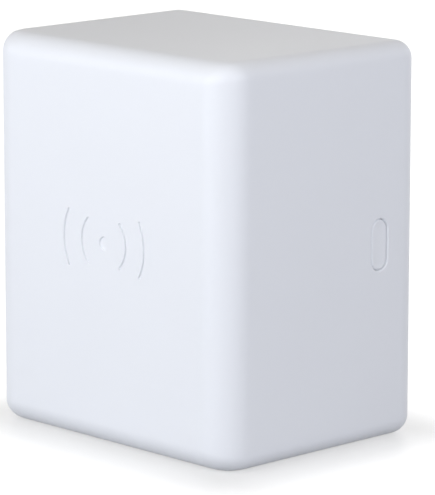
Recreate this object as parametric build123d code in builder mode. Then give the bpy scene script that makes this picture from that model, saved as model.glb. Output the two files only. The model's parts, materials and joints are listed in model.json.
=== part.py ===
from build123d import *
import os

os.makedirs("parts", exist_ok=True)

# Plug-in base station for wireless security cameras, in millimetres.
# The origin is the middle of the flat bottom. X runs to the right as seen from the front,
# Y runs back towards the wall outlet, and Z runs up.

# Body
width = 60.0
depth = 47.5
height = 70.0
front_round = 4.0          # rounding round the front face
rear_round = 4.5           # rounding round the rear face
side_round = 3.0           # rounding of the four edges between them
wall = 2.2
inside_corner = 1.2        # rounding along the cavity
cover_thickness = 2.4
cover_gap = 0.15           # between rear cover and shell, all round
seat_gap = 0.1             # clearance of a piece dropped into its seat
overrun = 5.0              # how far a cut runs past what it cuts

mid = height / 2
front_y = -depth / 2
rear_y = depth / 2
front_inside = front_y + wall
cover_inside = rear_y - cover_thickness
side_inside = width / 2 - wall
inside_width = width - 2 * wall
inside_height = height - 2 * wall
root = wall / 2            # how deep an inner feature is rooted in its wall

# Corner bosses and the cover screws
boss_inset = 4.8           # from the two inner walls to the screw axis
boss_round = 3.0           # rounding of the boss round the screw axis
cover_screw_radius = 1.15
cover_screw_length = 13.0  # over all, from the flat of the head
screw_clearance = 0.15     # round the shank in a through hole
head_radius = 2.3          # of the sunk head, where its cone would reach the cover's face
head_sunk = 0.25           # flat of the head below the cover's face
head_angle = 90

boss_x = side_inside - boss_inset
boss_rise = inside_height / 2 - boss_inset
boss_places = [(x, mid + z) for x in (-boss_x, boss_x) for z in (-boss_rise, boss_rise)]

# Sync button in the right wall
button_rise = mid          # height of its axis
button_y = 13.5
button_long = 8.8
button_wide = 3.6
button_slit = 0.2          # round the cap in the wall
button_sunk = 0.1          # outer face below the wall's face
button_edge = 0.25
button_travel = 0.3
flange_border = 1.2
flange_thickness = 0.9
flange_slit = 0.2
stem_wide = 1.6
stem_long = 2.6
stem_length = 0.9
guide_wall = 0.9
guide_depth = 2.0
opening_edge = 0.2

cap_face = width / 2 - button_sunk
flange_face = side_inside - seat_gap
flange_back = flange_face - flange_thickness
stem_end = flange_back - stem_length

# Side-push switch behind the button
contact_gap = 0.02         # between the stem and the plunger
plunger_wide = 1.5
plunger_long = 2.9
plunger_proud = 0.7
plunger_inside = 1.1
plunger_slit = 0.05
switch_tall = 3.8
switch_long = 6.2
switch_deep = 3.5
switch_skin = 0.25
switch_tab = 1.4

plunger_tip = stem_end - contact_gap
switch_face = plunger_tip - plunger_proud

# Boards
board_gap = 1.3            # from board edge to the inner walls
notch_gap = 0.6            # round the bosses
power_board_thickness = 1.6
radio_board_thickness = 1.2
radio_board_rise = 6.5     # front face of the radio board above the front wall
edge_gap = 0.3             # from the board to ribs, guide and button flange

board_width = inside_width - 2 * board_gap
board_height = inside_height - 2 * board_gap
notch = boss_inset + boss_round + notch_gap - board_gap
power_rear = button_y - switch_tall / 2
power_front = power_rear - power_board_thickness
radio_front = front_inside + radio_board_rise
radio_rear = radio_front + radio_board_thickness

# Ribs on the side walls, with a wide step for the radio board and a narrow one for the power
# board, and the stop ribs of the cover
rib_thickness = 2.6
rib_tall = 5.0
rib_rise_share = 0.32      # of the board height, from the middle to a rib
step_reach = 7.8           # from the side wall to the end of the wide step
board_screw_inset = 4.1    # from the board edge to the screw axis
board_screw_radius = 0.9
board_screw_length = 5.0
board_head_radius = 1.9
board_head_height = 1.2
stop_proud = 0.9
stop_wide = 1.6
stop_x_share = 0.22        # of the inside width, from the middle to a stop rib
stop_z_share = 0.17        # of the inside height, from the middle to a stop rib

rib_rise = rib_rise_share * board_height
board_screw_x = board_width / 2 - board_screw_inset
board_screw_places = [(side * board_screw_x, mid + side * rib_rise) for side in (-1, 1)]
rib_places = [(side, mid + z) for side in (-1, 1) for z in (-rib_rise, rib_rise)]

# Status light and its light pipe
light_x_share = 0.0
light_z_share = -0.34      # of the board height, from the middle
light_window = 0.8         # wall left in front of the light pipe
light_radius = 1.5
light_flange_side = 4.6
light_flange_thickness = 0.8
light_tube_wall = 1.2
led_wide = 2.0
led_tall = 1.25
led_deep = 0.8
led_gap = 0.2

light_place = (light_x_share * board_width, mid + light_z_share * board_height)
light_front = front_y + light_window
light_rear = radio_front - led_deep - led_gap
light_seat = light_rear - light_flange_thickness

# Plug
plug_rise = 12.0           # above the middle of the rear face
blade_spacing = 12.7
blade_wide = 6.35
blade_thickness = 1.52
blade_length = 17.5
blade_tip_round = 1.6
blade_tip_chamfer = 0.35
blade_hole_radius = 1.6
blade_hole_from_cover = 11.6
shoulder_wide = 8.6
shoulder_length = 2.2
tail_wide = 4.4
tail_end_gap = 1.6         # from the tail's end to the power board
plug_block_wide = 24.0
plug_block_tall = 15.0
plug_block_depth = 4.0
clamp_thickness = 1.6
clamp_screw_rise = 5.0
clamp_screw_radius = 0.9
clamp_screw_length = 4.6
clamp_head_radius = 1.7
clamp_head_height = 1.1
clip_leaf = 0.4
clip_tall = 3.6
clip_foot = 1.6
clip_gap = 0.02            # between a leaf and the blade tail

plug_z = mid + plug_rise
block_front = cover_inside - plug_block_depth
clamp_front = block_front - clamp_thickness
tail_end = power_rear + tail_end_gap
clip_end = clamp_front - edge_gap

# Cover posts that hold the power board, and stiffening ribs of the cover
cover_post_wide = 2.6
cover_post_tall = 4.6
cover_rib = 1.2
cover_rib_depth = 1.8

# Transformer
core_wide = 19.0
core_long = 16.0
core_thickness = 5.0
core_leg = 2.6
core_back = 2.4
core_middle = 4.8
bobbin_wall = 0.8
bobbin_flange = 1.0
bobbin_size = 13.0
bobbin_foot = 1.4
winding_size = 12.4
winding_round = 2.0
wound_gap = 0.15
transformer_x_share = 0.05
transformer_z_share = -0.02

# Other pieces of the power supply
big_capacitor_radius = 4.0
big_capacitor_height = 14.0
small_capacitor_radius = 3.2
small_capacitor_height = 11.0
choke_wide = 10.0
choke_tall = 9.0
choke_height = 11.0
choke_core = 2.4
choke_coil = 1.6           # how far the coil stands beyond its core
fuse_wide = 8.4
fuse_tall = 4.0
fuse_height = 7.6
fuse_edge = 0.5
disc_radius = 4.6
disc_thickness = 3.8
film_wide = 6.0
film_long = 12.5
film_height = 10.5
film_edge = 0.5
small_disc_radius = 3.4
small_disc_thickness = 2.8
row_gap = 1.0              # between the choke, the fuse, the varistor and the film capacitor
chip_edge = 0.3
bridge_size = (4.0, 4.8, 2.4)
controller_size = (5.0, 4.0, 1.6)
opto_size = (4.6, 6.5, 3.4)
diode_size = (4.6, 6.6, 2.2)
inductor_size = (6.0, 6.0, 3.2)
lead_proud = 0.9
lead_wide = 0.5
lead_thickness = 0.3
lead_height = 0.7

# Radio pieces
pin_pitch = 2.54
pin_count = 4
pin_side = 0.64
header_tall = 2.5
header_deep = 2.5
socket_deep = 8.5
shield_wide = 26.0
shield_tall = 25.0
shield_height = 2.2
shield_wall = 0.2
shield_lip = 0.8
lid_border = 0.3
lid_thickness = 0.2
processor_size = (12.0, 12.0, 1.2)
memory_size = (8.0, 6.0, 1.0)
wifi_size = (7.0, 7.0, 0.9)
camera_radio_size = (5.0, 5.0, 0.9)
crystal_size = (3.2, 2.5, 0.8)
thermal_pad_side = 18.0
thermal_pad_thickness = 0.8
spreader_tall = 36.0
spreader_thickness = 1.0
sheet_thickness = 0.4
sheet_border = 2.4         # beyond the heat spreader
sheet_gap = 0.6            # from the sheet to the ribs
antenna_sheet = 0.3
wifi_antennas_apart = 7.3  # between the two plates
wifi_antenna_gap = 1.35    # from a plate to the step of the ribs beside it
wifi_antenna_tall = 6.0
wifi_antenna_stand = 4.6
camera_antenna_wide = 6.0
camera_antenna_tall = 18.0
camera_antenna_stand = 4.6
antenna_leg = 1.4
antenna_slot = 1.0

# Places on the two boards, as shares of the board's width and height from its middle
input_capacitor_shares = [(-0.36, -0.05), (-0.36, 0.11)]
output_capacitor_shares = [(0.36, -0.13), (0.36, -0.26)]
choke_shares = (-0.22, 0.31)
fuse_rise_share = 0.39
varistor_rise_share = 0.37
film_rise_share = 0.29
bridge_shares = (-0.20, 0.13)
controller_shares = (-0.24, -0.25)
opto_shares = (-0.10, -0.25)
safety_shares = (0.02, -0.25)
diode_shares = (0.14, -0.25)
inductor_shares = (0.20, -0.40)
link_shares = (-0.08, -0.40)
shield_shares = (0.0, 0.06)
wifi_antenna_rise_share = 0.38
camera_antenna_shares = (-0.36, -0.03)

# Places under the shield, as shares of its width and height from its middle
processor_shares = (-0.20, 0.18)
memory_shares = (0.28, 0.24)
wifi_shares = (0.24, -0.22)
camera_radio_shares = (-0.28, -0.30)
crystal_shares = [(-0.02, -0.26), (0.34, 0.02)]


def facing_front(y):
    """Plane across the body at depth y that faces the front: local x is X and local y is Z."""
    return Plane(origin=(0, y, 0), x_dir=(1, 0, 0), z_dir=(0, -1, 0))


def facing_rear(y):
    """Plane across the body at depth y that faces the wall: local x is -X and local y is Z."""
    return Plane(origin=(0, y, 0), x_dir=(-1, 0, 0), z_dir=(0, 1, 0))


def facing_right(x):
    """Plane along the body at x that faces right: local x is Y and local y is Z."""
    return Plane(origin=(x, 0, 0), x_dir=(0, 1, 0), z_dir=(1, 0, 0))


def on_board(shares):
    """Place on a board, from shares of its width and height."""
    return shares[0] * board_width, mid + shares[1] * board_height


def block(place, across, up, rear, front, mode=Mode.ADD, corner=0):
    """Block between two depths, in the part that is being made."""
    with BuildSketch(facing_front(rear)) as face:
        with Locations(place):
            if corner:
                RectangleRounded(across, up, corner)
            else:
                Rectangle(across, up)
    extrude(face.sketch, amount=rear - front, mode=mode)


def rod(place, radius, rear, front, mode=Mode.ADD):
    """Round post between two depths, in the part that is being made."""
    with BuildSketch(facing_front(rear)) as face:
        with Locations(place):
            Circle(radius)
    extrude(face.sketch, amount=rear - front, mode=mode)


def pill(long, wide, right, left, mode=Mode.ADD):
    """Upright pill on the button's axis between two values of x, in the part being made."""
    with BuildSketch(facing_right(left)) as face:
        with Locations((button_y, button_rise)):
            SlotOverall(long, wide, rotation=90)
    extrude(face.sketch, amount=right - left, mode=mode)


def plate(wide, long, right, left, mode=Mode.ADD):
    """Block on the button's axis between two values of x, in the part that is being made."""
    with BuildSketch(facing_right(left)) as face:
        with Locations((button_y, button_rise)):
            Rectangle(wide, long)
    extrude(face.sketch, amount=right - left, mode=mode)


def chip(place, size, face, toward):
    """Moulded component with a bevelled top, standing on a board face; toward is -1 or 1."""
    plane = facing_front(face) if toward < 0 else facing_rear(face)
    with BuildSketch(plane) as foot:
        with Locations((-toward * place[0], place[1])):
            Rectangle(size[0], size[1])
    extrude(foot.sketch, amount=size[2] - chip_edge)
    with BuildSketch(plane.offset(size[2] - chip_edge)) as top:
        with Locations((-toward * place[0], place[1])):
            Rectangle(size[0], size[1])
    extrude(top.sketch, amount=chip_edge, taper=45)


def finish(piece, name):
    """Labels a finished piece and writes it."""
    piece.part.label = name
    export_step(piece.part, f"parts/{name}.step")


# Outer form that the shell and the cover share
with BuildPart() as outer_form:
    Box(width, depth, height, align=(Align.CENTER, Align.CENTER, Align.MIN))
    fillet(outer_form.faces().filter_by(Axis.Y).sort_by(Axis.Y)[0].edges(), front_round)
    fillet(outer_form.faces().filter_by(Axis.Y).sort_by(Axis.Y)[-1].edges(), rear_round)
    fillet(outer_form.edges().filter_by(Axis.Y), side_round)

# Cavity of the shell, open to the rear
with BuildPart() as cavity:
    with BuildSketch(facing_front(rear_y + overrun)):
        with Locations((0, mid)):
            Rectangle(inside_width, inside_height)
    extrude(amount=rear_y + overrun - front_inside)
    chamfer(cavity.faces().sort_by(Axis.Y)[0].edges(), front_round - wall)
    fillet(cavity.edges().filter_by(Axis.Y), inside_corner)

# Front shell: a deep cup with everything that holds the inside moulded in
with BuildPart() as front_shell:
    add(outer_form.part)
    add(cavity.part, mode=Mode.SUBTRACT)
    for x_side, z_side in ((-1, -1), (-1, 1), (1, -1), (1, 1)):
        boss_side = boss_inset + boss_round + root
        corner_x = x_side * (side_inside + root - boss_side / 2)
        corner_z = mid + z_side * (inside_height / 2 + root - boss_side / 2)
        block((corner_x, corner_z), boss_side, boss_side, cover_inside, front_inside - root,
              corner=boss_round)
    for place in boss_places:
        rod(place, cover_screw_radius, cover_inside + overrun, rear_y - cover_screw_length, Mode.SUBTRACT)
    for side, z in rib_places:
        for reach, end in ((step_reach, radio_front), (rib_thickness, power_front)):
            rib_centre = side * (side_inside + (root - reach) / 2)
            block((rib_centre, z), reach + root, rib_tall, end, front_inside - root)
    for place in board_screw_places:
        rod(place, board_screw_radius, radio_front + overrun, front_inside, Mode.SUBTRACT)
    for x in (-stop_x_share * inside_width, stop_x_share * inside_width):
        for side in (-1, 1):
            stop_centre = mid + side * (inside_height / 2 - stop_proud / 2 + root / 2)
            block((x, stop_centre), stop_wide, stop_proud + root, cover_inside, front_inside - root)
    for z in (mid - stop_z_share * inside_height, mid + stop_z_share * inside_height):
        for side in (-1, 1):
            stop_centre = side * (side_inside - stop_proud / 2 + root / 2)
            block((stop_centre, z), stop_proud + root, stop_wide, cover_inside, front_inside - root)
    # Guide round the button's flange, and the opening for its cap
    guide_border = flange_border + flange_slit + guide_wall
    plate(button_wide + 2 * guide_border, button_long + 2 * guide_border,
          side_inside + root, side_inside - guide_depth)
    plate(button_wide + 2 * (flange_border + flange_slit), button_long + 2 * (flange_border + flange_slit),
          side_inside, side_inside - guide_depth - overrun, Mode.SUBTRACT)
    pill(button_long + 2 * button_slit, button_wide + 2 * button_slit,
         width / 2 + overrun, side_inside - root, Mode.SUBTRACT)
    right_face = front_shell.faces().filter_by(Axis.X).sort_by(Axis.X)[-1]
    chamfer(right_face.inner_wires()[0].edges(), opening_edge)
    # Socket of the light pipe, which ends at a thinned spot of the front wall
    socket_side = 2 * (light_radius + light_tube_wall)
    block(light_place, socket_side, socket_side, light_seat, front_inside - root)
    # Nothing inside reaches through the rounded edges
    add(outer_form.part, mode=Mode.INTERSECT)
    rod(light_place, light_radius + seat_gap, light_seat + overrun, light_front, Mode.SUBTRACT)
finish(front_shell, "front_shell")

# Rear cover: its outer edge carries on the rounding of the shell
cover_width = inside_width - 2 * cover_gap
cover_height = inside_height - 2 * cover_gap
with BuildPart() as rear_cover:
    add(outer_form.part)
    with BuildSketch(facing_front(rear_y + overrun)):
        with Locations((0, mid)):
            RectangleRounded(cover_width, cover_height, inside_corner)
    extrude(amount=overrun + cover_thickness, mode=Mode.INTERSECT)
    block((0, plug_z), plug_block_wide, plug_block_tall, cover_inside, block_front)
    for side, z in rib_places:
        post_centre = side * (board_width / 2 - cover_post_wide / 2)
        block((post_centre, z), cover_post_wide, cover_post_tall, cover_inside, power_rear)
    rib_span = 2 * (board_width / 2 - cover_post_wide / 2)
    for z in (mid - rib_rise, mid + rib_rise):
        block((0, z), rib_span, cover_rib, cover_inside, cover_inside - cover_rib_depth)
    for x in (-plug_block_wide / 2 + cover_rib / 2, plug_block_wide / 2 - cover_rib / 2):
        block((x, mid), cover_rib, 2 * rib_rise, cover_inside, cover_inside - cover_rib_depth)
    # Countersunk holes from outside
    with Locations(facing_rear(rear_y)):
        with Locations([(-x, z) for x, z in boss_places]):
            CounterSinkHole(cover_screw_radius + screw_clearance, head_radius + screw_clearance,
                            counter_sink_angle=head_angle)
    # Slots of the blades, pockets of their shoulders and pilots of the clamp screws
    for x in (-blade_spacing / 2, blade_spacing / 2):
        block((x, plug_z), blade_thickness + 2 * seat_gap, blade_wide + 2 * seat_gap,
              rear_y + overrun, block_front - overrun, Mode.SUBTRACT)
        block((x, plug_z), blade_thickness + 2 * seat_gap, shoulder_wide + 2 * seat_gap,
              block_front + shoulder_length, block_front - overrun, Mode.SUBTRACT)
    for z in (plug_z - clamp_screw_rise, plug_z + clamp_screw_rise):
        rod((0, z), clamp_screw_radius - seat_gap, block_front + clamp_screw_length - clamp_thickness,
            block_front - overrun, Mode.SUBTRACT)
finish(rear_cover, "rear_cover")

# Four sunk screws of the cover, each turned about its own axis
head_face = rear_y - head_sunk
cone_height = head_radius - cover_screw_radius
with BuildPart() as cover_screws:
    for x, z in boss_places:
        with BuildSketch(Plane(origin=(x, head_face, z), x_dir=(1, 0, 0), z_dir=(0, 0, 1))):
            with BuildLine():
                Polyline(
                    (0, 0),
                    (head_radius - head_sunk, 0),
                    (cover_screw_radius, -cone_height + head_sunk),
                    (cover_screw_radius, head_sunk - cover_screw_length),
                    (0, head_sunk - cover_screw_length),
                    (0, 0),
                )
            make_face()
        revolve(axis=Axis((x, head_face, z), (0, 1, 0)))
finish(cover_screws, "cover_screws")

# Two blades, each with a shoulder that the clamp locks in the plug block and a narrower tail
with BuildPart() as plug_blades:
    for x in (-blade_spacing / 2, blade_spacing / 2):
        with BuildSketch(facing_right(x - blade_thickness / 2)):
            with Locations((rear_y, plug_z)):
                Rectangle(blade_length, blade_wide, align=(Align.MIN, Align.CENTER))
            with Locations((block_front, plug_z)):
                Rectangle(rear_y - block_front, blade_wide, align=(Align.MIN, Align.CENTER))
                Rectangle(shoulder_length, shoulder_wide, align=(Align.MIN, Align.CENTER))
                Rectangle(block_front - tail_end, tail_wide, align=(Align.MAX, Align.CENTER))
            with Locations((rear_y + blade_hole_from_cover, plug_z)):
                Circle(blade_hole_radius, mode=Mode.SUBTRACT)
        extrude(amount=blade_thickness)
    tips = plug_blades.faces().filter_by(Axis.Y).group_by(Axis.Y)[-1]
    chamfer(tips.edges().filter_by(Axis.Z), blade_tip_chamfer)
    corners = plug_blades.faces().filter_by(Axis.Y).group_by(Axis.Y)[-1].edges().filter_by(Axis.X)
    fillet(corners, blade_tip_round)
finish(plug_blades, "plug_blades")

# Clamp plate over the shoulders of the blades
with BuildPart() as blade_clamp:
    block((0, plug_z), plug_block_wide, plug_block_tall, block_front, clamp_front)
    for x in (-blade_spacing / 2, blade_spacing / 2):
        block((x, plug_z), blade_thickness + 2 * seat_gap, tail_wide + 2 * seat_gap,
              block_front + overrun, clamp_front - overrun, Mode.SUBTRACT)
    for z in (plug_z - clamp_screw_rise, plug_z + clamp_screw_rise):
        rod((0, z), clamp_screw_radius + screw_clearance, block_front + overrun, clamp_front - overrun,
            Mode.SUBTRACT)
finish(blade_clamp, "blade_clamp")

# Two screws of the clamp, driven from the front
with BuildPart() as clamp_screws:
    for z in (plug_z - clamp_screw_rise, plug_z + clamp_screw_rise):
        rod((0, z), clamp_head_radius, clamp_front, clamp_front - clamp_head_height)
        rod((0, z), clamp_screw_radius - seat_gap, clamp_front + clamp_screw_length, clamp_front)
finish(clamp_screws, "clamp_screws")

# Spring clips on the power board that grip the tails
clip_wide = blade_thickness + 2 * clip_gap + 2 * clip_leaf
with BuildPart() as contact_springs:
    for x in (-blade_spacing / 2, blade_spacing / 2):
        block((x, plug_z), clip_wide + 2 * clip_foot, clip_tall, power_rear + clip_leaf, power_rear)
        for side in (-1, 1):
            leaf_x = x + side * (clip_wide / 2 - clip_leaf / 2)
            block((leaf_x, plug_z), clip_leaf, clip_tall, clip_end, power_rear)
finish(contact_springs, "contact_springs")

# Sync button: cap, flange that keeps it in the wall, and stem
with BuildPart() as sync_button:
    pill(button_long, button_wide, cap_face, flange_back)
    chamfer(sync_button.faces().sort_by(Axis.X)[-1].edges(), button_edge)
    plate(button_wide + 2 * flange_border, button_long + 2 * flange_border, flange_face, flange_back)
    plate(stem_wide, stem_long, flange_back, stem_end)
finish(sync_button, "sync_button")

# Switch body, open towards the button
with BuildPart() as switch_body:
    plate(switch_tall, switch_long, switch_face, switch_face - switch_deep)
    plate(plunger_wide + 2 * plunger_slit, plunger_long + 2 * plunger_slit, switch_face + overrun,
          switch_face - plunger_inside - button_travel - seat_gap, Mode.SUBTRACT)
finish(switch_body, "switch_body")

# Bent sheet that holds the switch together, with two tabs down to the board
with BuildPart() as switch_cover:
    with BuildSketch(facing_right(switch_face - switch_deep)):
        with Locations((power_rear, button_rise)):
            hung = (Align.MIN, Align.CENTER)
            Rectangle(switch_tall + switch_skin, switch_long + 2 * switch_skin, align=hung)
            Rectangle(switch_tall, switch_long, align=hung, mode=Mode.SUBTRACT)
    extrude(amount=switch_deep - switch_tab)
finish(switch_cover, "switch_cover")

# Plunger, pushed by the stem of the button
with BuildPart() as switch_plunger:
    plate(plunger_wide, plunger_long, plunger_tip, switch_face - plunger_inside)
finish(switch_plunger, "switch_plunger")

# Board outline with its corners cut out round the bosses
with BuildSketch() as board_outline:
    Rectangle(board_width, board_height)
    with GridLocations(board_width, board_height, 2, 2):
        Rectangle(2 * notch, 2 * notch, mode=Mode.SUBTRACT)

guide_cut = side_inside - guide_depth - edge_gap
guide_tall = button_long + 2 * guide_border + 2 * edge_gap
rib_cut = side_inside - rib_thickness - edge_gap

# Power board, notched round the guide of the button
with BuildPart() as power_board:
    with BuildSketch(facing_front(power_rear)):
        with Locations((0, mid)):
            add(board_outline.sketch)
        with Locations((guide_cut, button_rise)):
            Rectangle(board_gap + guide_depth + overrun, guide_tall, align=(Align.MIN, Align.CENTER),
                      mode=Mode.SUBTRACT)
    extrude(amount=power_board_thickness)
finish(power_board, "power_board")

# Radio board, notched round the narrow part of the ribs
with BuildPart() as radio_board:
    with BuildSketch(facing_front(radio_rear)):
        with Locations((0, mid)):
            add(board_outline.sketch)
        for side, z in rib_places:
            with Locations((side * (rib_cut + overrun / 2), z)):
                Rectangle(overrun, rib_tall + 2 * edge_gap, mode=Mode.SUBTRACT)
        with Locations(board_screw_places):
            Circle(board_screw_radius + screw_clearance, mode=Mode.SUBTRACT)
    extrude(amount=radio_board_thickness)
finish(radio_board, "radio_board")

# Two screws of the radio board, in opposite corners
with BuildPart() as board_screws:
    for place in board_screw_places:
        rod(place, board_head_radius, radio_rear + board_head_height, radio_rear)
        rod(place, board_screw_radius, radio_rear, radio_rear - board_screw_length)
finish(board_screws, "board_screws")

# Transformer: two E halves, a bobbin with feet, and the taped winding
transformer_x, transformer_z = on_board((transformer_x_share, transformer_z_share))
core_centre_y = power_front - bobbin_foot - bobbin_size / 2
core_rear = core_centre_y + core_thickness / 2
core_window = (core_wide - 2 * core_leg - core_middle) / 2
with BuildPart() as transformer_core:
    for side in (-1, 1):
        with BuildSketch(facing_front(core_rear)):
            with Locations((transformer_x, transformer_z + side * core_long / 4)):
                Rectangle(core_wide, core_long / 2)
            for edge in (-1, 1):
                window_x = transformer_x + edge * (core_middle + core_window) / 2
                window_z = transformer_z + side * (core_long / 4 - core_back / 2)
                with Locations((window_x, window_z)):
                    Rectangle(core_window, core_long / 2 - core_back, mode=Mode.SUBTRACT)
        extrude(amount=core_thickness)
finish(transformer_core, "transformer_core")

bobbin_long = core_long - 2 * core_back - 2 * wound_gap
tube_across = core_middle + 2 * wound_gap + 2 * bobbin_wall
tube_deep = core_thickness + 2 * wound_gap + 2 * bobbin_wall
flange_across = core_wide - 2 * core_leg - 2 * wound_gap
with BuildPart() as transformer_bobbin:
    with BuildSketch(Plane.XY.offset(transformer_z - bobbin_long / 2)):
        with Locations((transformer_x, core_centre_y)):
            Rectangle(tube_across, tube_deep)
    extrude(amount=bobbin_long)
    for start in (transformer_z - bobbin_long / 2, transformer_z + bobbin_long / 2 - bobbin_flange):
        with BuildSketch(Plane.XY.offset(start)):
            with Locations((transformer_x, power_front)):
                Rectangle(flange_across, bobbin_foot + bobbin_size, align=(Align.CENTER, Align.MAX))
        extrude(amount=bobbin_flange)
    with BuildSketch(Plane.XY.offset(transformer_z - bobbin_long / 2 - overrun)):
        with Locations((transformer_x, core_centre_y)):
            Rectangle(core_middle + 2 * wound_gap, core_thickness + 2 * wound_gap)
    extrude(amount=bobbin_long + 2 * overrun, mode=Mode.SUBTRACT)
finish(transformer_bobbin, "transformer_bobbin")

winding_long = bobbin_long - 2 * bobbin_flange - 2 * wound_gap
with BuildPart() as transformer_winding:
    with BuildSketch(Plane.XY.offset(transformer_z - winding_long / 2)):
        with Locations((transformer_x, core_centre_y)):
            RectangleRounded(flange_across - 2 * wound_gap, winding_size, winding_round)
            Rectangle(tube_across + 2 * clip_gap, tube_deep + 2 * clip_gap, mode=Mode.SUBTRACT)
    extrude(amount=winding_long)
finish(transformer_winding, "transformer_winding")

# Standing capacitors: two at the mains side and two at the output
with BuildPart() as input_capacitors:
    for shares in input_capacitor_shares:
        rod(on_board(shares), big_capacitor_radius, power_front, power_front - big_capacitor_height)
finish(input_capacitors, "input_capacitors")

with BuildPart() as output_capacitors:
    for shares in output_capacitor_shares:
        rod(on_board(shares), small_capacitor_radius, power_front, power_front - small_capacitor_height)
finish(output_capacitors, "output_capacitors")

# Choke: a closed core that stands on the board, with a coil round each leg
choke_x, choke_z = on_board(choke_shares)
choke_front = power_front - choke_height
with BuildPart() as line_choke:
    block((choke_x, choke_z), choke_wide, choke_core, power_front, choke_front)
    block((choke_x, choke_z), choke_wide - 2 * choke_core, choke_core + overrun, power_front - choke_core,
          choke_front + choke_core, Mode.SUBTRACT)
    for side in (-1, 1):
        coil_x = choke_x + side * (choke_wide - choke_core) / 2
        block((coil_x, choke_z), choke_core + choke_coil, choke_tall, power_front - choke_core,
              choke_front + choke_core)
finish(line_choke, "line_choke")

# Mains parts in a row beside the choke
choke_right = choke_x + (choke_wide + choke_coil) / 2
fuse_place = (choke_right + row_gap + fuse_wide / 2, mid + fuse_rise_share * board_height)
varistor_x = fuse_place[0] + fuse_wide / 2 + row_gap + disc_thickness / 2
varistor_place = (varistor_x, mid + varistor_rise_share * board_height)
film_x = varistor_x + disc_thickness / 2 + row_gap + film_wide / 2
film_place = (film_x, mid + film_rise_share * board_height)
with BuildPart() as line_fuse:
    block(fuse_place, fuse_wide, fuse_tall, power_front, power_front - fuse_height)
    chamfer(line_fuse.faces().sort_by(Axis.Y)[0].edges(), fuse_edge)
finish(line_fuse, "line_fuse")


def standing_disc(place, radius, thickness):
    """Coated disc that stands on its edge on the board."""
    x, z = place
    with BuildSketch(facing_right(x - thickness / 2)) as face:
        with Locations((power_front - radius, z)):
            Circle(radius)
    extrude(face.sketch, amount=thickness)


with BuildPart() as surge_varistor:
    standing_disc(varistor_place, disc_radius, disc_thickness)
finish(surge_varistor, "surge_varistor")

with BuildPart() as safety_capacitor:
    standing_disc(on_board(safety_shares), small_disc_radius, small_disc_thickness)
finish(safety_capacitor, "safety_capacitor")

with BuildPart() as filter_capacitor:
    block(film_place, film_wide, film_long, power_front, power_front - film_height)
    chamfer(filter_capacitor.faces().sort_by(Axis.Y)[0].edges(), film_edge)
finish(filter_capacitor, "filter_capacitor")


def leads(place, size, count):
    """Bent legs along both long sides of a component on the front of the power board."""
    x, z = place
    for side in (-1, 1):
        for step in range(count):
            up = z + size[1] * ((step + 1) / (count + 1) - 1 / 2)
            centre = x + side * (size[0] / 2 + lead_proud / 2)
            block((centre, up), lead_proud, lead_wide, power_front, power_front - lead_thickness)
            inner = x + side * (size[0] / 2 + lead_thickness / 2)
            block((inner, up), lead_thickness, lead_wide, power_front, power_front - lead_height)


with BuildPart() as bridge_rectifier:
    chip(on_board(bridge_shares), bridge_size, power_front, -1)
    leads(on_board(bridge_shares), bridge_size, 2)
finish(bridge_rectifier, "bridge_rectifier")

with BuildPart() as power_controller:
    chip(on_board(controller_shares), controller_size, power_front, -1)
    leads(on_board(controller_shares), controller_size, 4)
finish(power_controller, "power_controller")

with BuildPart() as opto_isolator:
    chip(on_board(opto_shares), opto_size, power_front, -1)
    leads(on_board(opto_shares), opto_size, 2)
finish(opto_isolator, "opto_isolator")

with BuildPart() as output_diode:
    chip(on_board(diode_shares), diode_size, power_front, -1)
    leads(on_board(diode_shares), diode_size, 1)
finish(output_diode, "output_diode")

with BuildPart() as output_inductor:
    chip(on_board(inductor_shares), inductor_size, power_front, -1)
finish(output_inductor, "output_inductor")

# Pins that carry power and the button's signal to the radio board, and their socket
link_x, link_z = on_board(link_shares)
header_wide = pin_count * pin_pitch
pin_places = [(link_x + pin_pitch * (i - (pin_count - 1) / 2), link_z) for i in range(pin_count)]
socket_rear = radio_rear + socket_deep
with BuildPart() as link_header:
    block((link_x, link_z), header_wide, header_tall, power_front, power_front - header_deep)
    for place in pin_places:
        block(place, pin_side, pin_side, power_front, radio_rear + header_deep)
finish(link_header, "link_header")

with BuildPart() as link_socket:
    block((link_x, link_z), header_wide, header_tall, socket_rear, radio_rear)
    for place in pin_places:
        block(place, pin_side + 2 * seat_gap, pin_side + 2 * seat_gap, socket_rear + overrun,
              radio_rear + header_deep - seat_gap, Mode.SUBTRACT)
finish(link_socket, "link_socket")

# Shield: a low frame soldered to the radio board and a pressed lid over it
shield_place = on_board(shield_shares)
shield_top = radio_rear + shield_height
with BuildPart() as shield_frame:
    block(shield_place, shield_wide, shield_tall, shield_top, radio_rear)
    block(shield_place, shield_wide - 2 * shield_wall, shield_tall - 2 * shield_wall,
          shield_top - shield_wall, radio_rear - overrun, Mode.SUBTRACT)
    block(shield_place, shield_wide - 2 * shield_lip, shield_tall - 2 * shield_lip,
          shield_top + overrun, radio_rear, Mode.SUBTRACT)
finish(shield_frame, "shield_frame")

lid_top = shield_top + lid_thickness
lid_inner = (shield_wide + 2 * clip_gap, shield_tall + 2 * clip_gap)
with BuildPart() as shield_lid:
    block(shield_place, lid_inner[0] + 2 * lid_thickness, lid_inner[1] + 2 * lid_thickness,
          lid_top, radio_rear + lid_border)
    block(shield_place, lid_inner[0], lid_inner[1], shield_top, radio_rear - overrun, Mode.SUBTRACT)
finish(shield_lid, "shield_lid")


def under_shield(shares):
    """Place under the shield, from shares of its width and height."""
    return shield_place[0] + shares[0] * shield_wide, shield_place[1] + shares[1] * shield_tall


for name, shares, size in (
    ("processor", processor_shares, processor_size),
    ("memory_chip", memory_shares, memory_size),
    ("wifi_chip", wifi_shares, wifi_size),
    ("camera_radio", camera_radio_shares, camera_radio_size),
):
    with BuildPart() as package:
        chip(under_shield(shares), size, radio_rear, 1)
    finish(package, name)

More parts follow.
